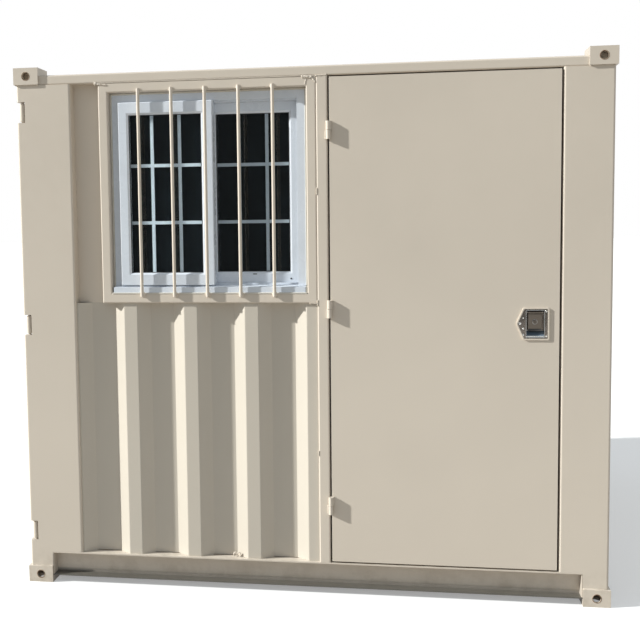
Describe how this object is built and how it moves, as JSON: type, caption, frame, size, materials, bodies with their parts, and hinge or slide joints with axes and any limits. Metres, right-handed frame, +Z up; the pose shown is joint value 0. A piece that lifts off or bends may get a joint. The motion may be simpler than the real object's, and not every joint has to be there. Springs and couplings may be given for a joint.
{
  "type": "storage container",
  "caption": "Small steel storage container with a hinged side door, a barred sliding window, corrugated walls, a boarded floor and cargo doors at one end.",
  "frame": {"origin": "centre of the bounding box at ground level, under the corner blocks", "axes": "+X along the front wall from the cargo doors to the closed end, -Y out of the front wall with the side door, +Z up"},
  "size_m": [2.49, 2.213, 2.26],
  "materials": {
    "container_paint": "satin",
    "floor_plywood": "matte",
    "window_plastic": "satin",
    "window_glass": "clear",
    "rubber_seal": "matte",
    "latch_steel": "polished",
    "lock_steel": "brushed"
  },
  "bodies": {
    "root": {"bottom_corner_blocks": "container_paint", "top_corner_blocks": "container_paint", "front_left_post": "container_paint", "front_right_post": "container_paint", "back_left_post": "container_paint", "back_right_post": "container_paint", "front_top_rail": "container_paint", "back_top_rail": "container_paint", "right_top_rail": "container_paint", "cargo_header": "container_paint", "front_bottom_rail": "container_paint", "back_bottom_rail": "container_paint", "right_bottom_rail": "container_paint", "cargo_sill": "container_paint", "floor_cross_members": "container_paint", "roof_panel": "container_paint", "front_panel_lower": "container_paint", "front_panel_side": "container_paint", "back_wall_panel": "container_paint", "right_wall_panel": "container_paint", "window_steel_frame": "container_paint", "security_bars": "container_paint", "door_jamb": "container_paint", "door_stop": "container_paint", "fixed_hinge_knuckles": "container_paint", "cargo_door_front_leaf": "container_paint", "cargo_door_back_leaf": "container_paint", "cargo_hinges": "container_paint", "cargo_hinge_pins": "container_paint", "locking_rods": "container_paint", "rod_brackets": "container_paint", "rod_handles": "container_paint", "floor_boards": "floor_plywood", "window_outer_frame": "window_plastic", "left_sash": "window_plastic", "right_sash": "window_plastic", "window_glass": "window_glass", "glazing_bars": "window_plastic", "window_catch": "window_plastic", "door_seal": "rubber_seal", "cargo_door_gaskets": "rubber_seal"},
    "door": {"door_skin": "container_paint", "door_inner_frame": "container_paint", "door_lining": "container_paint", "door_hinge_knuckles": "container_paint", "latch_plate": "latch_steel"},
    "paddle": {"latch_paddle": "latch_steel", "lock_barrel": "lock_steel"}
  },
  "joints": [
    {"name": "door_swing", "type": "hinge", "parent": "root", "child": "door", "pos_m": [0.1065, -1.0965, 0], "axis": [0, 0, -1], "range_deg": [0, 170]},
    {"name": "paddle_pull", "type": "hinge", "parent": "door", "child": "paddle", "pos_m": [0.937, -1.0765, 1.211], "axis": [-1, 0, 0], "range_deg": [0, 35], "stiffness_Nm_per_rad": 0.3}
  ]
}
